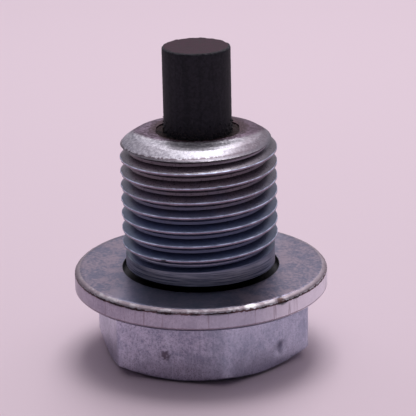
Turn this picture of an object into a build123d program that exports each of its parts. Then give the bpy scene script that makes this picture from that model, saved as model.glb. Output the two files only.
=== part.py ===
from build123d import *
import os
from math import cos, radians, sin, tan

# Oil drain plug, standing on its hexagon head.
# All lengths are in millimetres and all angles in degrees.
# +Z runs up the plug's axis, and the origin is the centre of the head's end face.

# Hexagon head
hex_sides = 6
hex_across_flats = 20.0
hex_height = 6.85
hex_corner_radius = 1.1
head_end_diameter = 18.8
head_end_chamfer_angle = 25.0
head_root_chamfer = 0.3

# Flange
flange_overhang = 3.0
flange_thickness = 2.2
flange_top_chamfer = 0.35
flange_under_chamfer = 0.25

# Relief groove that parts the seal face from the shank
neck_diameter = 13.8
relief_diameter = 16.1
relief_depth = 0.5
relief_height = 0.45

# Shank and its rolled thread, M16 with a fine pitch
shank_length = 14.5
shank_diameter = 15.3
shank_rise_angle = 45.0
thread_crest_diameter = 15.9
thread_depth = 0.88
thread_pitch = 1.5
thread_root_width = 0.28
thread_flank_angle = 30.0
thread_end_height = 2.06
thread_end_turn = 197.3
run_out_angle = 55.0
run_out_margin = 0.1

# Nose, turned with two slopes, with a shallow recess and a blind socket
nose_flat_diameter = 10.0
nose_ridge_diameter = 12.8
nose_ridge_drop = 0.23
nose_slope_height = 1.13
recess_diameter = 8.6
recess_depth = 0.6
socket_depth = 5.5

# Magnet, and the glue round its foot
magnet_diameter = 6.9
magnet_stand_out = 8.65
magnet_edge_chamfer = 0.12
socket_clearance = 0.05
glue_foot_height = 0.5
glue_wall_height = 0.25

# Levels along the axis
seal_face_z = hex_height + flange_thickness
relief_floor_z = seal_face_z - relief_depth
shank_start_z = seal_face_z + relief_height
thread_end_z = seal_face_z + thread_end_height
nose_z = seal_face_z + shank_length
nose_ridge_z = nose_z - nose_ridge_drop
nose_edge_z = nose_z - nose_slope_height
recess_floor_z = nose_z - recess_depth
socket_floor_z = nose_z - socket_depth
magnet_top_z = nose_z + magnet_stand_out

# Radii
head_end_radius = head_end_diameter / 2
flange_radius = hex_across_flats / 2 + flange_overhang
neck_radius = neck_diameter / 2
relief_radius = relief_diameter / 2
shank_radius = shank_diameter / 2
crest_radius = thread_crest_diameter / 2
root_radius = crest_radius - thread_depth
nose_flat_radius = nose_flat_diameter / 2
nose_ridge_radius = nose_ridge_diameter / 2
recess_radius = recess_diameter / 2
magnet_radius = magnet_diameter / 2
socket_radius = magnet_radius + socket_clearance

# A short cone lifts the plain shank to the thread's crests, half a pitch above the last groove
crest_start_z = thread_end_z + thread_pitch / 2
shank_end_z = crest_start_z - (crest_radius - shank_radius) / tan(radians(shank_rise_angle))

# The groove between the crests climbs from the thread's end until it has left the nose.
# Below that end it runs out: its root moves outwards on a cone until it has left the shank.
axis_up = Vector(0, 0, 1)
thread_end = Vector(0, 0, thread_end_z)
outwards = Vector(cos(radians(thread_end_turn)), sin(radians(thread_end_turn)), 0)
climb_start = Plane(origin=thread_end, x_dir=outwards, z_dir=axis_up)
run_out_start = Plane(origin=thread_end, x_dir=outwards, z_dir=-axis_up)
across_groove = Plane(origin=thread_end, x_dir=outwards, z_dir=outwards.cross(axis_up))
climb = nose_z - thread_end_z + thread_pitch / 2
run_out = (shank_radius - root_radius + run_out_margin) / tan(radians(run_out_angle))
climb_path = climb_start.location * Helix(thread_pitch, climb, root_radius)
run_out_path = run_out_start.location * Helix(thread_pitch, run_out, root_radius, cone_angle=run_out_angle)

# The groove's section is a trapezium that opens just past the crests
groove_root = thread_root_width / 2
groove_lip_radius = crest_radius + run_out_margin
groove_lip = groove_root + (groove_lip_radius - root_radius) * tan(radians(thread_flank_angle))

# Plug body: one piece of steel, forged, turned and thread-rolled
with BuildPart() as plug_body:
    # Hexagon head with soft corners
    with BuildSketch():
        RegularPolygon(hex_across_flats / 2, hex_sides, major_radius=False)
        fillet(vertices(), hex_corner_radius)
    extrude(amount=hex_height)

    # A shallow cone takes the corners off at the head's end face
    cone_reach = hex_across_flats - head_end_radius
    with BuildSketch(Plane.XZ):
        Polygon(
            (head_end_radius, 0),
            (head_end_radius + cone_reach, 0),
            (head_end_radius + cone_reach, cone_reach * tan(radians(head_end_chamfer_angle))),
            align=None,
        )
    revolve(axis=Axis.Z, mode=Mode.SUBTRACT)

    # Flange, relief groove, shank and nose are turned together
    with BuildSketch(Plane.XZ):
        Polygon(
            (0, hex_height),
            (flange_radius - flange_under_chamfer, hex_height),
            (flange_radius, hex_height + flange_under_chamfer),
            (flange_radius, seal_face_z - flange_top_chamfer),
            (flange_radius - flange_top_chamfer, seal_face_z),
            (relief_radius, seal_face_z),
            (relief_radius, relief_floor_z),
            (neck_radius, relief_floor_z),
            (neck_radius, shank_start_z),
            (shank_radius, shank_start_z),
            (shank_radius, shank_end_z),
            (crest_radius, crest_start_z),
            (crest_radius, nose_edge_z),
            (nose_ridge_radius, nose_ridge_z),
            (nose_flat_radius, nose_z),
            (0, nose_z),
            align=None,
        )
    revolve(axis=Axis.Z)

    # The forging die leaves a small slope where the head meets the flange
    under_flange = edges().filter_by_position(Axis.Z, hex_height, hex_height)
    chamfer(under_flange.filter_by(lambda edge: edge.length < hex_across_flats), head_root_chamfer)

    # Recess and blind socket for the magnet
    with BuildSketch(Plane.XY.offset(nose_z)):
        Circle(recess_radius)
    extrude(amount=-recess_depth, mode=Mode.SUBTRACT)
    with BuildSketch(Plane.XY.offset(nose_z)):
        Circle(socket_radius)
    extrude(amount=-socket_depth, mode=Mode.SUBTRACT)

    # The groove winds down the shank and leaves the thread standing, then runs out
    with BuildSketch(across_groove) as groove_section:
        Polygon(
            (root_radius, -groove_root),
            (groove_lip_radius, -groove_lip),
            (groove_lip_radius, groove_lip),
            (root_radius, groove_root),
            align=None,
        )
    sweep(groove_section.sketch, path=climb_path, is_frenet=True, mode=Mode.SUBTRACT)
    sweep(groove_section.sketch, path=run_out_path, is_frenet=True, mode=Mode.SUBTRACT)

plug_body.part.label = "plug_body"

# Magnet: a plain rod of hard ferrite that stands on the socket's floor
with BuildPart() as magnet:
    with BuildSketch(Plane.XY.offset(socket_floor_z)):
        Circle(magnet_radius)
    extrude(amount=magnet_top_z - socket_floor_z)
    chamfer(edges().sort_by(Axis.Z)[-1], magnet_edge_chamfer)

magnet.part.label = "magnet"

# Glue: a ring that fills the recess and climbs a little up the magnet
with BuildPart() as glue_ring:
    with BuildSketch(Plane.XZ):
        Polygon(
            (magnet_radius, recess_floor_z),
            (recess_radius, recess_floor_z),
            (recess_radius, recess_floor_z + glue_wall_height),
            (magnet_radius, recess_floor_z + glue_foot_height),
            align=None,
        )
    revolve(axis=Axis.Z)

glue_ring.part.label = "glue_ring"

os.makedirs("parts", exist_ok=True)
export_step(plug_body.part, "parts/plug_body.step")
export_step(magnet.part, "parts/magnet.step")
export_step(glue_ring.part, "parts/glue_ring.step")
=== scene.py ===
from math import atan2, cos, hypot, pi, radians, sin, tan

import bpy
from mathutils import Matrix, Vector, noise


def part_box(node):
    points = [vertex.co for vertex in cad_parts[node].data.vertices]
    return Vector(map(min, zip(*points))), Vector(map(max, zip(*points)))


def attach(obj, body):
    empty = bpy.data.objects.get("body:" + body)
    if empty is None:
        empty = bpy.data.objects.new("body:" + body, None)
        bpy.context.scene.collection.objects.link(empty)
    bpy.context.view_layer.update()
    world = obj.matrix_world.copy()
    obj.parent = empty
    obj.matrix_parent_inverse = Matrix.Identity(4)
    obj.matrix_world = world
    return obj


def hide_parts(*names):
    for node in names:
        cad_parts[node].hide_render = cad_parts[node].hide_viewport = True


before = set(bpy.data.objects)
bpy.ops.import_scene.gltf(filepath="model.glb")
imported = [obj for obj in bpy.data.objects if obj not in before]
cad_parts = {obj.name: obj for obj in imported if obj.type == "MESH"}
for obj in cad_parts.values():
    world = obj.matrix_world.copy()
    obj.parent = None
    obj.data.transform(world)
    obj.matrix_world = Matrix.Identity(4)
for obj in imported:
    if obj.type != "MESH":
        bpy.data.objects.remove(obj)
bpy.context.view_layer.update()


# Plug body: the turned blank
# One piece of steel carries the flange, the relief groove, the shank and the nose, which are turned. The
# nose has a shallow recess and a blind socket for the magnet.
body_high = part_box("plug_body")[1]
magnet_low, magnet_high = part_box("magnet")
glue_low, glue_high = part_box("glue_ring")

head_height = 0.00685
flange_radius = body_high.x
flange_thickness = 0.0022
flange_top_chamfer = 0.00035
flange_under_chamfer = 0.00025
seal_face = head_height + flange_thickness

relief_radius = 0.00805
relief_depth = 0.0005
relief_height = 0.00045
neck_radius = 0.0069
relief_floor = seal_face - relief_depth
shank_foot = seal_face + relief_height

shank_radius = 0.00765
crest_radius = 0.00795
plain_shank_height = 0.00281
shank_cone_height = 0.0003
thread_foot = seal_face + plain_shank_height
shank_end = thread_foot - shank_cone_height

nose_top = body_high.z
nose_edge_drop = 0.00140
nose_edge = nose_top - nose_edge_drop
nose_flat_radius = 0.0048
recess_radius = glue_high.x
recess_floor = glue_low.z
socket_clearance = 0.00005
magnet_radius = magnet_high.x
socket_radius = magnet_radius + socket_clearance
socket_floor = magnet_low.z

# The flange's worn top edge: the way inwards, the drop below the seal face, and the rows of faces
flange_top_round = [(0.00018, 0.00013, 3), (0.00040, 0.00003, 2), (0.00060, 0, 2)]

# The nose's slope, from its edge inwards: the radius and the drop below the top
nose_slope = [(0.00762, 0.00104), (0.00705, 0.00065), (0.00650, 0.00031), (0.00600, 0.00017)]
slope_rows = 4

# Every turned piece has this many columns of faces round it
columns = 236


def turn(name, radius, height, profile):
    """Turns a solid: a disc is pushed and resized in rows, from point to point of the profile."""
    bpy.ops.object.select_all(action="DESELECT")
    bpy.ops.mesh.primitive_circle_add(
        vertices=columns, radius=radius, fill_type="NGON", location=(0, 0, height)
    )
    piece = bpy.context.object
    piece.name = name
    bpy.ops.object.transform_apply(location=True)
    bpy.ops.object.mode_set(mode="EDIT")
    bpy.ops.mesh.select_all(action="SELECT")
    for next_radius, next_height, rows in profile:
        radius_step = (next_radius - radius) / rows
        height_step = (next_height - height) / rows
        for row in range(rows):
            wider = (radius + radius_step) / radius
            bpy.ops.mesh.extrude_region_move(TRANSFORM_OT_translate={"value": (0, 0, height_step)})
            bpy.ops.transform.resize(value=(wider, wider, 1))
            radius += radius_step
        height = next_height
    bpy.ops.mesh.select_all(action="SELECT")
    bpy.ops.mesh.normals_make_consistent(inside=False)
    bpy.ops.object.mode_set(mode="OBJECT")
    return piece


body = turn("turned_plug_body", flange_radius - flange_under_chamfer, head_height, [
    (flange_radius, head_height + flange_under_chamfer, 2),
    (flange_radius, seal_face - flange_top_chamfer, 7),
    *((flange_radius - inwards, seal_face - drop, rows) for inwards, drop, rows in flange_top_round),
    (relief_radius, seal_face, 14),
    (relief_radius, relief_floor, 2),
    (neck_radius, relief_floor, 2),
    (neck_radius, shank_foot, 3),
    (shank_radius, shank_foot, 2),
    (shank_radius, shank_end, 12),
    (crest_radius, thread_foot, 2),
    (crest_radius, nose_edge, 64),
    *((slope_radius, nose_top - drop, slope_rows) for slope_radius, drop in nose_slope),
    (nose_flat_radius, nose_top, 6),
    (recess_radius, nose_top, 6),
    (recess_radius, recess_floor, 5),
    (socket_radius, recess_floor, 2),
    (socket_radius, socket_floor, 2),
])


# Plug body: the rolled thread
# A right-hand M16 thread with a fine pitch of 1.5 mm. Rolling presses one groove into the shank and lifts
# a rounded, slightly torn crest beside it. At its foot the groove runs out of the metal.
pitch = 0.0015
groove_root = 0.00707
root_half_width = 0.00014
root_cuts = 1
flank_end = 0.00787
flank_angle = radians(30)
flank_cuts = 3
shoulder_angle = radians(38)
groove_lip = 0.00803
groove_end_height = 0.00206
groove_end = seal_face + groove_end_height
groove_end_turn = 197.3 / 360
run_out_slope = tan(radians(55))
run_out_margin = 0.0001
run_out_turns = (shank_radius - groove_root + run_out_margin) / run_out_slope / pitch
climb_turns = (nose_top - groove_end) / pitch + 1
tear_depth = 0.00003
tear_grain = 1400
fine_tear_scale = 2.3
fine_tear_share = 0.5

# Two places closer than this are one
near = 0.00001


def pick_edges(piece, test):
    """Selects the edges whose two ends pass the test together."""
    bpy.ops.object.mode_set(mode="OBJECT")
    points = piece.data.vertices
    for vertex in points:
        vertex.select = False
    for edge in piece.data.edges:
        edge.select = test(points[edge.vertices[0]].co, points[edge.vertices[1]].co)
    bpy.ops.object.mode_set(mode="EDIT")


def pick_piece(piece):
    """Makes the piece the only one selected, and the active one."""
    bpy.ops.object.select_all(action="DESELECT")
    bpy.context.view_layer.objects.active = piece
    piece.select_set(True)


def carve(piece, tool, operation):
    """Cuts the tool's solid off, joins it on or keeps what both share, and takes the tool away."""
    pick_piece(piece)
    cut = piece.modifiers.new("cut", "BOOLEAN")
    cut.object = tool
    cut.operation = operation
    cut.solver = "MANIFOLD"
    bpy.ops.object.modifier_apply(modifier=cut.name)
    bpy.data.objects.remove(tool)


# The groove's section is an open line: down one flank, across the root and up the other flank
bpy.ops.object.select_all(action="DESELECT")
bpy.ops.mesh.primitive_plane_add(size=1, rotation=(pi / 2, 0, 0))
groove = bpy.context.object
bpy.ops.object.transform_apply(rotation=True)
bpy.ops.object.mode_set(mode="EDIT")
bpy.ops.mesh.delete(type="ONLY_FACE")
bpy.ops.mesh.select_mode(type="EDGE")
bpy.ops.mesh.select_all(action="SELECT")
bpy.ops.transform.resize(value=(flank_end - groove_root, 1, 2 * root_half_width))
bpy.ops.transform.translate(value=((flank_end + groove_root) / 2, 0, 0))
pick_edges(groove, lambda a, b: min(a.x, b.x) > flank_end - near)
flank_half_width = root_half_width + (flank_end - groove_root) * tan(flank_angle)
bpy.ops.transform.resize(value=(1, 1, flank_half_width / root_half_width))
pick_edges(groove, lambda a, b: abs(a.x - b.x) > 10 * near)
bpy.ops.mesh.subdivide(number_cuts=flank_cuts)
pick_edges(groove, lambda a, b: min(a.x, b.x) > flank_end - near)
lip_half_width = flank_half_width + (groove_lip - flank_end) * tan(shoulder_angle)
bpy.ops.mesh.extrude_region_move(TRANSFORM_OT_translate={"value": (groove_lip - flank_end, 0, 0)})
bpy.ops.transform.resize(value=(1, 1, lip_half_width / flank_half_width))
pick_edges(groove, lambda a, b: max(a.x, b.x) < groove_root + near)
bpy.ops.mesh.subdivide(number_cuts=root_cuts)
bpy.ops.mesh.select_all(action="SELECT")
bpy.ops.mesh.delete(type="ONLY_FACE")
pick_edges(groove, lambda a, b: abs(a.x - flank_end) + abs(b.x - flank_end) < near)
bpy.ops.mesh.delete(type="EDGE")
bpy.ops.object.mode_set(mode="OBJECT")

screw = groove.modifiers.new("screw", "SCREW")
screw.angle = 2 * pi * (run_out_turns + climb_turns)
screw.screw_offset = pitch * (run_out_turns + climb_turns)
screw.steps = screw.render_steps = round(columns * (run_out_turns + climb_turns))
bpy.ops.object.modifier_apply(modifier=screw.name)

# At its foot the groove swings outwards on a cone, and the shoulders beside its flanks are torn
for vertex in groove.data.vertices:
    x, y, z = vertex.co
    radius = hypot(x, y)
    part_turn = atan2(y, x) / (2 * pi)
    turns = part_turn + round(z / pitch - part_turn)
    swing = max(run_out_turns - turns, 0) * pitch * run_out_slope
    tear = noise.noise(vertex.co * tear_grain)
    tear += fine_tear_share * noise.noise(vertex.co * fine_tear_scale * tear_grain)
    if radius < flank_end - near:
        tear = 0
    vertex.co *= (radius + swing) / radius
    vertex.co.z = z + tear_depth * tear
bpy.ops.object.mode_set(mode="EDIT")
bpy.ops.mesh.select_all(action="SELECT")
bpy.ops.mesh.fill_holes(sides=0)
bpy.ops.mesh.normals_make_consistent(inside=False)
bpy.ops.object.mode_set(mode="OBJECT")
groove.rotation_euler = (0, 0, 2 * pi * (groove_end_turn - run_out_turns))
groove.location = (0, 0, groove_end - run_out_turns * pitch)
bpy.ops.object.transform_apply(location=True, rotation=True)
carve(body, groove, "DIFFERENCE")


# Plug body: the hexagon head
# The head is forged in one with the flange, 20 mm across its flats, with soft corners. A shallow cone is
# turned on its end, and a small slope is left where it meets the flange.
head_across = 0.0200
head_corner_radius = 0.0011
head_root_slope = 0.0003
head_end_radius = 0.0094
head_rows = 24
flat_cuts = 36
corner_segments = 8

# The rounded slope on the head's end, from the end face outwards: radius, height and rows of faces
head_end_slope = [
    (0.00985, 0.00021, 2),
    (0.01005, 0.00036, 2),
    (0.01040, 0.00056, 2),
    (0.01120, 0.00095, 3),
    (0.01200, 0.00160, 3),
    (0.01200, 0.00750, 1),
]

# Below this height and past this radius the head's worn edge is smoothed
smoothed_height = 0.0018
smoothed_radius = head_end_radius + 0.00012
merged_distance = 0.000002
sliver_width = 0.000001


def pick_points(piece, test):
    """Selects the vertices whose radius and height pass the test."""
    bpy.ops.object.mode_set(mode="EDIT")
    bpy.ops.mesh.select_mode(type="VERT")
    bpy.ops.mesh.select_all(action="DESELECT")
    bpy.ops.object.mode_set(mode="OBJECT")
    for vertex in piece.data.vertices:
        vertex.select = test(hypot(vertex.co.x, vertex.co.y), vertex.co.z)
    bpy.ops.object.mode_set(mode="EDIT")


bpy.ops.object.select_all(action="DESELECT")
bpy.ops.mesh.primitive_circle_add(
    vertices=6, radius=head_across / 2 / cos(pi / 6), fill_type="NGON", rotation=(0, 0, pi / 6)
)
head = bpy.context.object
bpy.ops.object.transform_apply(rotation=True)
bpy.ops.object.mode_set(mode="EDIT")
bpy.ops.mesh.select_all(action="SELECT")
corner_cut = head_corner_radius * tan(pi / 6)
bpy.ops.mesh.bevel(offset=corner_cut, segments=corner_segments, affect="VERTICES")
bpy.ops.mesh.select_mode(type="EDGE")
pick_edges(head, lambda a, b: (a - b).length > head_across / 4)
bpy.ops.mesh.subdivide(number_cuts=flat_cuts)
bpy.ops.mesh.select_all(action="SELECT")
for row in range(head_rows):
    rise = (head_height - head_root_slope) / head_rows
    bpy.ops.mesh.extrude_region_move(TRANSFORM_OT_translate={"value": (0, 0, rise)})
root_spread = 1 + 2 * head_root_slope / head_across
bpy.ops.mesh.extrude_region_move(TRANSFORM_OT_translate={"value": (0, 0, head_root_slope)})
bpy.ops.transform.resize(value=(root_spread, root_spread, 1))
bpy.ops.mesh.extrude_region_move(TRANSFORM_OT_translate={"value": (0, 0, head_root_slope)})
bpy.ops.mesh.select_all(action="SELECT")
bpy.ops.mesh.normals_make_consistent(inside=False)
bpy.ops.object.mode_set(mode="OBJECT")
dish = turn("dish", head_end_radius, 0, head_end_slope)
carve(head, dish, "INTERSECT")
carve(body, head, "UNION")

bpy.ops.object.mode_set(mode="EDIT")
bpy.ops.mesh.select_all(action="SELECT")
bpy.ops.mesh.remove_doubles(threshold=merged_distance)
bpy.ops.mesh.dissolve_degenerate(threshold=sliver_width)
bpy.ops.mesh.normals_make_consistent(inside=False)
pick_points(body, lambda radius, height: height < smoothed_height and radius > smoothed_radius)
bpy.ops.mesh.vertices_smooth(factor=0.5, repeat=5)
bpy.ops.object.mode_set(mode="OBJECT")
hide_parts("plug_body")
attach(body, "root")


# Plug body: wear
# Handling and spanners have dulled the edges: the flange's chamfer is uneven, the crests are nicked, the
# turned nose is rough and the forged flats are slightly pitted and dented.
edge_width = 0.0005
nose_flat_depth = 0.00015
nose_flat_margin = 0.0006
nose_slope_margin = 0.0002
end_face_margin = 0.0001

recess_edge_depth = 0.00012
recess_edge_width = 0.0003
recess_edge_loss = 0.00018
recess_edge_grain = 700
recess_edge_bias = 0.4

crest_depth = 0.00002
crest_margin = 0.0003
crest_loss = 0.00003
crest_grain = 900
nick_loss = 0.0003
nick_grain = 420
nick_threshold = 0.4
nick_stretch = 0.2

# Dents and nicks that show by themselves: the place, the size and the depth of each
dents = [
    (0.01052, -0.00730, 0.00893, 0.00050, 0.00022),
    (0.00820, -0.00975, 0.00890, 0.00040, 0.00012),
    (0.00250, -0.01255, 0.00890, 0.00035, 0.00010),
    (-0.00600, -0.01120, 0.00890, 0.00040, 0.00012),
    (0.00945, -0.00363, 0.00214, 0.00080, 0.00015),
    (-0.00138, -0.00783, 0.01235, 0.00035, 0.00012),
    (0.00420, -0.00675, 0.01990, 0.00030, 0.00008),
    (-0.00580, -0.00540, 0.01820, 0.00030, 0.00008),
]
smooth_angle = radians(32)


def roughen(piece, name, depth, grain, contrast, weigh):
    """Sinks a surface in grains of the given size, as deep as the weight at each place allows."""
    group = piece.vertex_groups.new(name=name)
    for vertex in piece.data.vertices:
        weight = weigh(hypot(vertex.co.x, vertex.co.y), vertex.co.z)
        if weight > 0:
            group.add([vertex.index], weight, "REPLACE")
    grains = bpy.data.textures.new(name, "CLOUDS")
    grains.noise_scale = grain
    grains.contrast = contrast
    wear = piece.modifiers.new(name, "DISPLACE")
    wear.texture = grains
    wear.vertex_group = name

    # A middle level under 0 makes every grain sink the surface, and none raise it
    wear.mid_level = -0.25
    wear.strength = -depth
    pick_piece(piece)
    bpy.ops.object.modifier_apply(modifier=wear.name)


def on_flange_edge(radius, height):
    return height > seal_face - edge_width and radius > flange_radius - edge_width


def on_nose_flat(radius, height):
    return height > nose_top - nose_flat_depth and radius < nose_flat_radius + nose_flat_margin


def on_nose_slope(radius, height):
    return height > nose_edge - nose_slope_margin and radius > nose_flat_radius


def on_head(radius, height):
    return end_face_margin < height < head_height - head_root_slope


roughen(body, "flange_edge", depth=0.00004, grain=0.0004, contrast=1.6, weigh=on_flange_edge)
roughen(body, "nose_flat", depth=0.00005, grain=0.0003, contrast=1.6, weigh=on_nose_flat)
roughen(body, "nose_slope", depth=0.00002, grain=0.0004, contrast=1.6, weigh=on_nose_slope)
roughen(body, "head_pits", depth=0.00004, grain=0.0009, contrast=1.5, weigh=on_head)

for vertex in body.data.vertices:
    x, y, z = vertex.co
    radius = hypot(x, y)
    loss = 0
    if z > nose_top - recess_edge_depth and radius < recess_radius + recess_edge_width:
        loss = recess_edge_loss * max(noise.noise(vertex.co * recess_edge_grain) + recess_edge_bias, 0)
    if shank_end < z < nose_edge + crest_margin and radius > flank_end - crest_depth:
        along = Vector((x, y, nick_stretch * z))
        loss = crest_loss * max(noise.noise(along * crest_grain), 0)
        loss += nick_loss * max(noise.noise(along * nick_grain) - nick_threshold, 0)
    for dent_x, dent_y, dent_z, dent_size, dent_depth in dents:
        away = hypot(x - dent_x, y - dent_y, z - dent_z) / dent_size
        if away < 1:
            loss += dent_depth * (1 - away * away)
    if loss != 0:
        vertex.co.xy *= (radius - loss) / radius
bpy.ops.object.shade_smooth_by_angle(angle=smooth_angle)


# Plug body: the plating
# Blue-white zinc over steel, satin and lightly brushed. It is stained brown on the rough nose, has painted
# shade in the thread's groove and the relief, and is rubbed bright on the crests and edges, with painted
# highlights there.
class Signal:
    """One output in a material's node tree, with which sums can be written as plain Python."""

    def __init__(self, tree, socket):
        self.tree = tree
        self.socket = socket

    def node(self, kind, settings=None, out=0, **inputs):
        """Adds a node: settings are its own options, and inputs are sockets by name or by _number."""
        made = self.tree.nodes.new(kind)
        for name, value in (settings or {}).items():
            setattr(made, name, value)
        for name, value in inputs.items():
            target = made.inputs[int(name[1:]) if name.startswith("_") else name.replace("_", " ")]
            if isinstance(value, Signal):
                self.tree.links.new(value.socket, target)
            else:
                target.default_value = value
        return Signal(self.tree, made.outputs[out])

    def math(self, operation, first, second=0.0):
        return self.node("ShaderNodeMath", {"operation": operation}, _0=first, _1=second)

    def __add__(self, other):
        return self.math("ADD", self, other)

    def __radd__(self, other):
        return self.math("ADD", other, self)

    def __sub__(self, other):
        return self.math("SUBTRACT", self, other)

    def __rsub__(self, other):
        return self.math("SUBTRACT", other, self)

    def __mul__(self, other):
        return self.math("MULTIPLY", self, other)

    def __rmul__(self, other):
        return self.math("MULTIPLY", other, self)

    def __truediv__(self, other):
        return self.math("DIVIDE", self, other)

    def part(self, axis):
        """One axis of a place: 0 for x, 1 for y and 2 for z."""
        return self.node("ShaderNodeSeparateXYZ", out=axis, _0=self)

    def stretched(self, x, y, z):
        return self.node("ShaderNodeVectorMath", {"operation": "MULTIPLY"}, _0=self, _1=(x, y, z))

    def distance(self, x, y, z):
        return self.node("ShaderNodeVectorMath", {"operation": "DISTANCE"}, out=1, _0=self, _1=(x, y, z))

    def grain(self, scale, detail=3.0):
        """Cloudy noise from 0 to 1 with a spread round 0.5, at a place in millimetres."""
        return self.node("ShaderNodeTexNoise", Vector=self, Scale=scale, Detail=detail, Roughness=0.6)

    def rise(self, low, high):
        """0 below low, 1 above high, and a smooth rise between."""
        return self.node(
            "ShaderNodeMapRange", {"interpolation_type": "SMOOTHSTEP"},
            Value=self, From_Min=low, From_Max=high, To_Min=0.0, To_Max=1.0,
        )

    def fall(self, low, high):
        """1 below low, 0 above high, and a smooth fall between."""
        return 1.0 - self.rise(low, high)

    def within(self, low, high, soft):
        """1 between low and high, and 0 outside, with a soft step at each end."""
        return self.rise(low - soft, low + soft) * self.fall(high - soft, high + soft)

    def blend(self, low, high):
        """The low colour where this is 0 and the high colour where it is 1."""
        low, high = (end if isinstance(end, Signal) else (*end, 1) for end in (low, high))
        return self.node("ShaderNodeMix", {"data_type": "RGBA"}, out=2, _0=self, _6=low, _7=high)


# The materials measure in millimetres, so lengths from the frame are multiplied by this
mm = 1000


def start_material(name):
    """A material, a function that plugs values into its shader, and the place in millimetres."""
    material = bpy.data.materials.new(name)
    material.use_nodes = True
    tree = material.node_tree
    shader = tree.nodes["Principled BSDF"]
    place = Signal(tree, tree.nodes.new("ShaderNodeTexCoord").outputs["Object"]).stretched(mm, mm, mm)

    def finish(**values):
        for name, value in values.items():
            target = shader.inputs[name.replace("_", " ")]
            if isinstance(value, Signal):
                tree.links.new(value.socket, target)
            else:
                target.default_value = value

    return material, finish, place


def coat(piece, material):
    """Gives the whole piece one material."""
    piece.data.materials.clear()
    piece.data.materials.append(material)


zinc, zinc_finish, place = start_material("zinc_plated_steel")
right = place.part(0)
back = place.part(1)
height = place.part(2)
flat_place = place.stretched(1, 1, 0)
radius = flat_place.distance(0, 0, 0)
fine = place.grain(3.0, 5.0)
coarse = place.grain(0.45, 4.0)
specks = place.grain(7.0, 2.0)
streaks = place.stretched(4.0, 4.0, 0.35).grain(1.0, 4.0)
rings = place.stretched(0.25, 0.25, 9.0).grain(1.0, 3.0)

# Levels and radii that the parts of the finish start from
head_level = head_height * mm
face_level = seal_face * mm
nose_level = nose_top * mm
root_reach = groove_root * mm
crest_reach = crest_radius * mm
relief_reach = relief_radius * mm
rim_reach = flange_radius * mm

# Forged head: mottled and streaked, with painted light that makes it paler towards its end, and bluer on
# its right
head_grey = (0.29, 0.30, 0.40)
head_blue = (0.53, 0.52, 0.64)
streak_blue = (0.64, 0.66, 0.78)
painted_light_lilac = (0.68, 0.66, 0.77)
pit_grey = (0.17, 0.16, 0.24)
right_blue = (0.46, 0.56, 0.68)
mottled = (coarse * 0.5 + fine * 0.5).rise(0.40, 0.60)
colour = mottled.blend(head_grey, head_blue)
colour = (streaks.rise(0.50, 0.70) * 0.45).blend(colour, streak_blue)
# Painted light: the head is made paler towards its end, where shade falls
colour = (height.fall(0.3, 3.5) * 0.5).blend(colour, painted_light_lilac)
colour = (specks.rise(0.52, 0.64) * 0.55).blend(colour, pit_grey)
colour = (right.rise(2.0, 6.0) * 0.3).blend(colour, right_blue)

# A smudge on its flats, painted shade in a dent, and grime with painted shade along its lowest edge
smudge_place = (-0.8, -10.0, 2.9)
smudge_brown = (0.09, 0.065, 0.09)
dent_place = (9.45, -3.63, 1.1)
dent_shade_grey = (0.10, 0.10, 0.16)
grime_and_shade_grey = (0.10, 0.10, 0.15)
smudge = (place.distance(*smudge_place) + (fine - 0.5) * 1.6).fall(0.15, 0.75)
colour = (smudge * 0.8).blend(colour, smudge_brown)
# Painted shade in the dent on the flat
dent_shade = place.stretched(1.0, 1.0, 0.5).distance(*dent_place).fall(0.15, 0.55)
colour = (dent_shade * 0.7).blend(colour, dent_shade_grey)
# Grime and painted shade darken the lowest edge
grime_and_shade = (height + (fine - 0.5) * 0.3).fall(0.20, 0.50)
colour = (grime_and_shade * 0.6).blend(colour, grime_and_shade_grey)

# Turned rim: brown and darker on its left, partly painted shade, and a painted highlight on its right, with
# upright scores and a brown foot
rim_grey = (0.47, 0.45, 0.52)
rim_brown_and_shade = (0.30, 0.25, 0.30)
rim_highlight_white = (1.0, 0.97, 1.0)
score_brown = (0.22, 0.17, 0.20)
rim_foot_brown = (0.20, 0.15, 0.18)
on_rim = height.rise(head_level + 0.10, head_level + 0.15) * radius.rise(rim_reach - 0.4, rim_reach - 0.2)
# Painted shade on the rim's left and a painted highlight on its right
rim_left_stain_and_shade = (right + (coarse - 0.5) * 6.0).fall(-11.0, 9.0)
rim_right_highlight = right.rise(7.5, 12.5)
rim = rim_right_highlight.blend(rim_left_stain_and_shade.blend(rim_grey, rim_brown_and_shade), rim_highlight_white)
colour = (on_rim * 0.6).blend(colour, rim)
scores = place.stretched(3.0, 3.0, 0.2).grain(1.0, 4.0).rise(0.56, 0.66)
colour = (on_rim * scores * 0.5).blend(colour, score_brown)
rim_foot = on_rim * (height + (fine - 0.5) * 0.2).within(head_level + 0.25, head_level + 0.35, 0.03)
colour = (rim_foot * 0.8).blend(colour, rim_foot_brown)

# Seal face: blue and lilac blotches, bluer in the middle with a painted reflection of the shank, darker at
# the sides
face_blue_and_reflection = (0.31, 0.33, 0.45)
face_lilac = (0.42, 0.40, 0.52)
face_side_blue = (0.20, 0.20, 0.29)
face_side_brown = (0.37, 0.30, 0.37)
on_face = height.rise(face_level - 0.05, face_level - 0.01)
on_face = on_face * height.fall(face_level + 0.15, face_level + 0.25)
on_face = on_face * radius.within(relief_reach + 0.05, rim_reach - 0.4, 0.03)
face_side = right.math("ABSOLUTE", right).rise(3.0, 7.5)
# The middle's blue is partly a painted reflection of the shank
face_middle_colour_and_reflection = mottled.blend(face_blue_and_reflection, face_lilac)
face_side_colour = mottled.blend(face_side_blue, face_side_brown)
colour = on_face.blend(colour, face_side.blend(face_middle_colour_and_reflection, face_side_colour))
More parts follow.
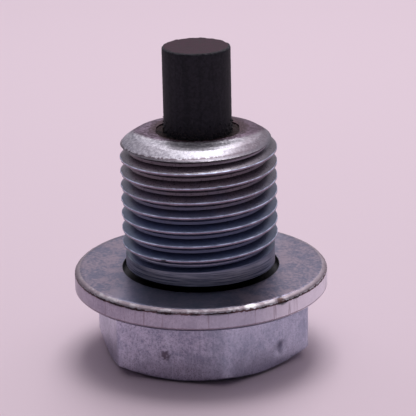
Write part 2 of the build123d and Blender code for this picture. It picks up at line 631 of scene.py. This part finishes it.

# Rim's chamfer: rubbed bright, with a painted highlight strongest at the front, a painted glint, a brown
# edge and a nick
chamfer_dull = (0.36, 0.30, 0.34)
chamfer_rubbed_highlight = (0.54, 0.50, 0.54)
glint_place = (8.1, -9.8, 9.0)
glint_white = (0.95, 0.93, 0.94)
edge_brown = (0.12, 0.075, 0.085)
nick_place = (10.5, -7.3, 8.9)
nick_brown = (0.14, 0.08, 0.07)
chamfer = height.within(face_level - 0.27, face_level - 0.01, 0.03)
chamfer = chamfer * radius.rise(rim_reach - 0.6, rim_reach - 0.5)
# Painted highlight on the chamfer, strongest at the front, over real rubbing
front_highlight_share = (back + (coarse - 0.5) * 3.0).fall(-9.0, -5.0)
rubbed_and_lit = place.grain(1.1, 4.0).rise(0.44, 0.60) * (front_highlight_share * 0.8 + 0.2)
colour = chamfer.blend(colour, rubbed_and_lit.blend(chamfer_dull, chamfer_rubbed_highlight))
# A painted glint on the chamfer
painted_glint = place.distance(*glint_place).fall(0.3, 0.8)
colour = (chamfer * painted_glint).blend(colour, glint_white)
chamfer_low = (height + (fine - 0.5) * 0.40).within(face_level - 0.45, face_level - 0.29, 0.02)
chamfer_low = chamfer_low * radius.rise(rim_reach - 0.4, rim_reach - 0.3)
colour = (chamfer_low * (coarse.rise(0.25, 0.45) * 0.4 + 0.6)).blend(colour, edge_brown)
nick = place.distance(*nick_place).fall(0.25, 0.55)
colour = (nick * 0.8).blend(colour, nick_brown)

# Plain shank with fine turned lines, and painted shade that makes the relief under it black
line_dark = (0.13, 0.155, 0.21)
line_light = (0.42, 0.46, 0.54)
relief_shade_black = (0.012, 0.012, 0.016)
on_shank = height.within(face_level + 0.45, face_level + 2.45, 0.05)
on_shank = on_shank * radius.fall(crest_reach + 0.05, crest_reach + 0.10)
colour = on_shank.blend(colour, rings.rise(0.35, 0.65).blend(line_dark, line_light))
# Painted shade in the relief
relief_shade = height.rise(face_level - 0.85, face_level - 0.75)
relief_shade = relief_shade * height.fall(face_level + 0.30, face_level + 0.45)
relief_shade = relief_shade * radius.fall(relief_reach + 0.01, relief_reach + 0.09)
colour = relief_shade.blend(colour, relief_shade_black)

# Thread: its phase is 0 in the middle of the groove and 0.5 in the middle of the crest
turns = height.math("ARCTAN2", back, right) / (2 * pi)
groove_phase = (groove_end / pitch - groove_end_turn) % 1
phase = height / (pitch * mm) - turns - groove_phase
phase = phase.math("FRACT", phase)
in_thread = (height + (phase - 0.5)).within(face_level + 2.05, nose_level - 0.95, 0.3)
in_thread = in_thread * radius.fall(crest_reach + 0.15, crest_reach + 0.20)

# Roots darkened with painted shade, and blue-grey flanks, which turn brown and speckled towards the nose
# and carry painted shade on their right
root_shade_blue = (0.085, 0.102, 0.160)
root_shade_brown = (0.140, 0.125, 0.145)
flank_blue = (0.20, 0.245, 0.345)
flank_brown = (0.31, 0.285, 0.32)
flank_speck = (0.035, 0.028, 0.035)
flank_shade = (0.04, 0.04, 0.06)
towards_nose = (height + (coarse - 0.5) * 6.0).rise(nose_level - 8.05, nose_level - 3.05)
# Painted shade darkens the roots
deep = radius.rise(root_reach + 0.01, crest_reach - 0.15)
flank = deep.blend(towards_nose.blend(root_shade_blue, root_shade_brown), towards_nose.blend(flank_blue, flank_brown))
flank = (specks.rise(0.56, 0.66) * (towards_nose * 0.6 + 0.2)).blend(flank, flank_speck)
# Painted shade on the flanks' right side
flank = (right.rise(5.0, 7.5) * 0.3).blend(flank, flank_shade)
colour = in_thread.blend(colour, flank)

# Brown lands, and the crests' upper edges rubbed bright and given a painted highlight
land_brown = (0.24, 0.19, 0.24)
rubbed_highlight_blue = (0.66, 0.77, 0.97)
land = in_thread * phase.within(0.44, 0.53, 0.015) * radius.rise(crest_reach - 0.15, crest_reach - 0.09)
colour = (land * 0.9).blend(colour, land_brown)
# Painted highlight along the crests' upper edges, over real rubbing
rubbed_and_highlight = in_thread * phase.within(0.53, 0.585, 0.012) * radius.rise(crest_reach - 0.17, crest_reach - 0.11)
rubbed_and_highlight = rubbed_and_highlight * (place.grain(1.0, 4.0).rise(0.40, 0.60) * 0.65 + 0.35)
colour = rubbed_and_highlight.blend(colour, rubbed_highlight_blue)

# Nose's slope: satin, browner on its right, with a brown burr where the groove leaves it
slope_grey = (0.44, 0.42, 0.48)
slope_light = (0.68, 0.66, 0.72)
slope_speck = (0.26, 0.23, 0.27)
slope_brown = (0.17, 0.13, 0.16)
burr_brown = (0.14, 0.10, 0.12)
groove_wall = in_thread * (1.0 - phase.within(0.43, 0.57, 0.02))
on_slope = height.rise(nose_level - 1.60, nose_level - 1.45) * (1.0 - groove_wall)
satin = (fine * 0.6 + streaks * 0.4).rise(0.4, 0.6)
colour = on_slope.blend(colour, satin.blend(slope_grey, slope_light))
colour = (on_slope * specks.rise(0.54, 0.64) * 0.45).blend(colour, slope_speck)
right_side = (right + (coarse - 0.5) * 2.0).rise(3.6, 6.0) * (fine.rise(0.40, 0.55) * 0.35 + 0.45)
colour = (on_slope * right_side).blend(colour, slope_brown)
burr = (phase + (fine - 0.5) * 0.35).fall(0.47, 0.51) * radius.rise(crest_reach - 0.95, crest_reach - 0.65)
colour = (on_slope * burr * 0.85).blend(colour, burr_brown)

# Nose's flat: a rough brown stain round the magnet, with rust at the recess
stain_middle = (-0.68, 2.2, 0)
stain_dark = (0.090, 0.060, 0.086)
stain_light = (0.27, 0.20, 0.27)
stain_shade = (0.075, 0.045, 0.065)
stain_speck = (0.05, 0.034, 0.045)
rust_middle = (-0.15, 0.8, 0)
rust_dark = (0.045, 0.026, 0.036)
rust_light = (0.11, 0.065, 0.080)
stain_reach = flat_place.distance(*stain_middle) + (fine - 0.5) * 0.9
on_flat = height.rise(nose_level - 0.95, nose_level - 0.75) * stain_reach.fall(6.5, 7.1)
blotches = (fine * 0.6 + coarse * 0.4).rise(0.40, 0.60)
colour = on_flat.blend(colour, blotches.blend(stain_dark, stain_light))
stain_back = on_flat * (right + back * 0.8 + (coarse - 0.5) * 4.0).rise(3.0, 6.0)
colour = (stain_back * 0.55).blend(colour, stain_shade)
colour = (on_flat * specks.rise(0.55, 0.63) * 0.6).blend(colour, stain_speck)
rust_reach = flat_place.distance(*rust_middle) + (fine - 0.5) * 2.2
rust = height.rise(nose_level - 0.85, nose_level - 0.75) * rust_reach.fall(4.6, 5.4)
colour = rust.blend(colour, specks.rise(0.4, 0.6).blend(rust_dark, rust_light))

dull_places = on_flat * 0.10 + on_slope * 0.09 + chamfer * 0.22
brushed_height = fine * 0.6 + streaks * 0.5 + rings * 0.4 + specks * 0.2
zinc_finish(
    Base_Color=colour,
    Metallic=1.0 - rust * 0.8,
    Specular_IOR_Level=0.1,
    Roughness=0.34 + dull_places + (fine - 0.5) * 0.25 + (streaks - 0.5) * 0.1,
    Normal=place.node("ShaderNodeBump", Strength=0.35, Distance=0.00002, Height=brushed_height),
)
coat(body, zinc)


# Magnet
# A plain rod of hard ferrite, pressed and ground, nearly black, with small chips at the rim. Fine iron
# dust clings near its foot, and its lower end stands on the socket's floor.
magnet_chamfer = 0.00012
magnet_end_rings = [0.0022, 0.0008]
chip_depth = 0.0002
chip_width = 0.0003


def on_rod(radius, height):
    return height > glue_high.z


def on_rod_rim(radius, height):
    return height > magnet_high.z - chip_depth and radius > magnet_radius - chip_width


magnet = turn("ferrite_rod", magnet_radius, magnet_low.z, [
    (magnet_radius, glue_low.z, 4),
    (magnet_radius, magnet_high.z - magnet_chamfer, 60),
    (magnet_radius - magnet_chamfer, magnet_high.z, 3),
    *((ring_radius, magnet_high.z, 6) for ring_radius in magnet_end_rings),
])
roughen(magnet, "rod_grain", depth=0.00002, grain=0.0004, contrast=1.5, weigh=on_rod)
roughen(magnet, "rim_chips", depth=0.00005, grain=0.0005, contrast=3.0, weigh=on_rod_rim)
bpy.ops.object.shade_smooth_by_angle(angle=smooth_angle)
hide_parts("magnet")
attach(magnet, "root")

ferrite_dark = (0.010, 0.011, 0.016)
ferrite_light = (0.024, 0.023, 0.032)
scratch_grey = (0.07, 0.065, 0.08)
rim_wear_grey = (0.09, 0.08, 0.10)
end_dark = (0.025, 0.004, 0.014)
end_light = (0.046, 0.011, 0.029)
dust_brown = (0.075, 0.055, 0.055)
ferrite, ferrite_finish, place = start_material("hard_ferrite")
height = place.part(2)
radius = place.stretched(1, 1, 0).distance(0, 0, 0)
end_level = magnet_high.z * mm
rod_reach = magnet_radius * mm
fine = place.grain(3.0, 4.0)
bands = place.stretched(1.6, 1.6, 0.05).grain(1.0, 2.0)
scratches = place.stretched(9.0, 9.0, 0.6).grain(1.0, 3.0)
colour = (fine * 0.7 + bands * 0.3).rise(0.38, 0.62).blend(ferrite_dark, ferrite_light)
colour = (scratches.rise(0.62, 0.78) * 0.35).blend(colour, scratch_grey)
rim_wear = height.rise(end_level - 0.15, end_level - 0.08) * radius.rise(rod_reach - 0.20, rod_reach - 0.13)
colour = (rim_wear * fine.rise(0.35, 0.55) * 0.6).blend(colour, rim_wear_grey)
on_end = height.rise(end_level - 0.05, end_level - 0.01) * radius.fall(rod_reach - 0.25, rod_reach - 0.15)
colour = on_end.blend(colour, fine.rise(0.3, 0.7).blend(end_dark, end_light))
dust = (height + (fine - 0.5) * 3.0).fall(nose_level + 0.05, nose_level + 1.45)
dust = dust * place.grain(6.0, 2.0).rise(0.50, 0.62)
colour = (dust * 0.7).blend(colour, dust_brown)
ferrite_finish(
    Base_Color=colour,
    Roughness=0.68 + (fine - 0.5) * 0.2,
    Specular_IOR_Level=0.25,
    Normal=place.node("ShaderNodeBump", Strength=0.3, Distance=0.00002, Height=fine + scratches * 0.6),
)
coat(magnet, ferrite)


# Iron grains
# The magnet has caught fine iron dust from the oil. It clings round the magnet's foot in small dark
# grains, more thickly near the glue.
grain_count = 150
grain_low = glue_low.z + 0.0003
grain_climb = 0.0016
grain_size = 0.00005
grain_size_spread = 0.00007
grain_reach = magnet_radius + 0.00001

# Each grain lies this much further round than the one before, so that they spread evenly
grain_turn = radians(137.508)

bpy.ops.object.select_all(action="DESELECT")
for number in range(grain_count):
    share = number / grain_count
    turn_angle = number * grain_turn
    size = grain_size + grain_size_spread * (0.5 + noise.noise(Vector((number * 1.7, 0.3, 0.8))))
    rise = grain_low + grain_climb * share * share
    bpy.ops.mesh.primitive_ico_sphere_add(
        subdivisions=1, radius=size, rotation=(share * 9, share * 31, turn_angle),
        location=(grain_reach * cos(turn_angle), grain_reach * sin(turn_angle), rise),
        scale=(1.0, 1.6, 1.2),
    )
    if number == 0:
        grains = bpy.context.object
    else:
        grains.select_set(True)
        bpy.context.view_layer.objects.active = grains
        bpy.ops.object.join()
grains.name = "iron_grains"
bpy.ops.object.transform_apply(location=True, rotation=True, scale=True)
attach(grains, "root")
coat(grains, ferrite)


# Glue ring
# Dark brown glue fills the recess round the magnet's foot. It has set unevenly and holds grains of rust.
glue_top_rings = [0.00410, 0.00380, magnet_radius]
glue_foot_height = 0.0002
glue_smooth_angle = radians(60)


def on_glue_top(radius, height):
    return height > glue_low.z + glue_foot_height


glue_ring = turn("glue_fillet", glue_high.x, glue_low.z, [
    (glue_high.x, glue_high.z, 3),
    *((ring_radius, glue_high.z, 3) for ring_radius in glue_top_rings),
    (magnet_radius, glue_low.z, 2),
])

# The two discs that turning leaves at its ends are taken out, and their rims are joined under the ring
bpy.ops.object.mode_set(mode="EDIT")
bpy.ops.mesh.select_mode(type="FACE")
bpy.ops.mesh.select_all(action="DESELECT")
bpy.ops.object.mode_set(mode="OBJECT")
for face in glue_ring.data.polygons:
    face.select = len(face.vertices) == columns
bpy.ops.object.mode_set(mode="EDIT")
bpy.ops.mesh.delete(type="ONLY_FACE")
pick_edges(glue_ring, lambda a, b: max(a.z, b.z) < glue_low.z + near)
bpy.ops.mesh.bridge_edge_loops()
bpy.ops.mesh.select_all(action="SELECT")
bpy.ops.mesh.normals_make_consistent(inside=False)
bpy.ops.object.mode_set(mode="OBJECT")
roughen(glue_ring, "glue_lumps", depth=0.00012, grain=0.0005, contrast=2.0, weigh=on_glue_top)
bpy.ops.object.shade_smooth_by_angle(angle=glue_smooth_angle)
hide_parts("glue_ring")
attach(glue_ring, "root")

glue_dark = (0.008, 0.006, 0.008)
glue_brown = (0.035, 0.020, 0.020)
glue_rust = (0.042, 0.020, 0.026)
glue, glue_finish, place = start_material("glue")
right = place.part(0)
fine = place.grain(4.0, 4.0)
colour = fine.rise(0.35, 0.65).blend(glue_dark, glue_brown)
rust_side = right.math("ABSOLUTE", right).rise(2.0, 4.0)
rust_side = rust_side * place.grain(1.5, 4.0).rise(0.45, 0.6)
colour = (rust_side * 0.7).blend(colour, glue_rust)
glue_finish(
    Base_Color=colour,
    Roughness=0.75,
    Specular_IOR_Level=0.12,
    Normal=place.node("ShaderNodeBump", Strength=0.5, Distance=0.00005, Height=fine),
)
coat(glue_ring, glue)


# Floor
# A plain pale sheet of paper that the plug stands on, and that reaches out of the picture.
floor_size = 2.0
paper_pink = (0.78, 0.64, 0.72, 1)
bpy.ops.object.select_all(action="DESELECT")
bpy.ops.mesh.primitive_plane_add(size=floor_size)
floor = bpy.context.object
floor.name = "floor"
paper, paper_finish, place = start_material("paper")
paper_finish(Base_Color=paper_pink, Roughness=0.9, Specular_IOR_Level=0.2)
coat(floor, paper)


# Camera
# It stands about 20 cm away, a little above the plug, and looks down on it by 19 degrees. Its lens is
# long, with the focal length given in pixels of a picture that is 416 pixels wide.
photo_width = 416
focal_pixels = 1960
view_height = 0.01514
view_distance = 0.200
view_side = 0.00086
view_drop = radians(18.93)
view_turn = radians(17.3)
view_roll = radians(-1.2)
camera_data = bpy.data.cameras.new("camera")
camera = bpy.data.objects.new("camera", camera_data)
bpy.context.scene.collection.objects.link(camera)
camera_data.sensor_width = 36
camera_data.lens = focal_pixels / photo_width * camera_data.sensor_width
camera_data.clip_start = 0.01
camera.rotation_euler = (pi / 2 - view_drop, 0, view_turn)
camera.rotation_euler.rotate_axis("Z", view_roll)
aim = camera.rotation_euler.to_matrix()
camera.location = Vector((0, 0, view_height)) + aim @ Vector((view_side, 0, view_distance))
bpy.context.scene.camera = camera
bpy.context.scene.view_settings.view_transform = "Standard"


# Light
# One soft lamp stands above and behind the plug. The room is bright behind and overhead, and dim in
# front, so that the metal shows both light and dark.
backwards = Vector((-sin(view_turn), cos(view_turn), 0))
rightwards = Vector((cos(view_turn), sin(view_turn), 0))
front_level = 0.07
behind_level = 0.36
behind_high_level = 0.15
overhead_level = 0.48
side_share = 0.3
dim_lilac = (0.90, 0.88, 1.0)
bright_pink = (1.0, 0.90, 0.97)
world = bpy.data.worlds.new("room")
bpy.context.scene.world = world
world.use_nodes = True
room = world.node_tree.nodes["Background"]
direction = Signal(world.node_tree, world.node_tree.nodes.new("ShaderNodeTexCoord").outputs["Generated"])


def towards(way):
    """How far the direction of a ray points that way, from -1 to 1."""
    return direction.node("ShaderNodeVectorMath", {"operation": "DOT_PRODUCT"}, out=1, _0=direction, _1=way)


upwards = direction.part(2)
behind = towards(backwards).rise(-0.1, 0.7) * (upwards.rise(0.25, 0.75) * behind_high_level + behind_level)
level = front_level + behind + upwards.rise(0.60, 0.85) * overhead_level
level = level * (towards(rightwards) * side_share + 1.0)
tint = level.rise(0.0, 1.0).blend(dim_lilac, bright_pink)
world.node_tree.links.new(tint.socket, room.inputs["Color"])
world.node_tree.links.new(level.socket, room.inputs["Strength"])

lamp_width = 0.16
lamp_depth = 0.27
lamp_power = 0.73
lamp_rise = radians(67)
lamp_side = 0.07
lamp_distance = 0.35
lamp_target = Vector((0, 0, 0.015))
lamp_data = bpy.data.lights.new("soft_lamp", "AREA")
lamp_data.shape = "RECTANGLE"
lamp_data.size = lamp_width
lamp_data.size_y = lamp_depth
lamp_data.energy = lamp_power
lamp = bpy.data.objects.new("soft_lamp", lamp_data)
bpy.context.scene.collection.objects.link(lamp)
lamp_aim = backwards * cos(lamp_rise) + rightwards * lamp_side + Vector((0, 0, sin(lamp_rise)))
lamp.location = lamp_target + lamp_aim.normalized() * lamp_distance
lamp.rotation_euler = lamp_aim.to_track_quat("Z", "Y").to_euler()
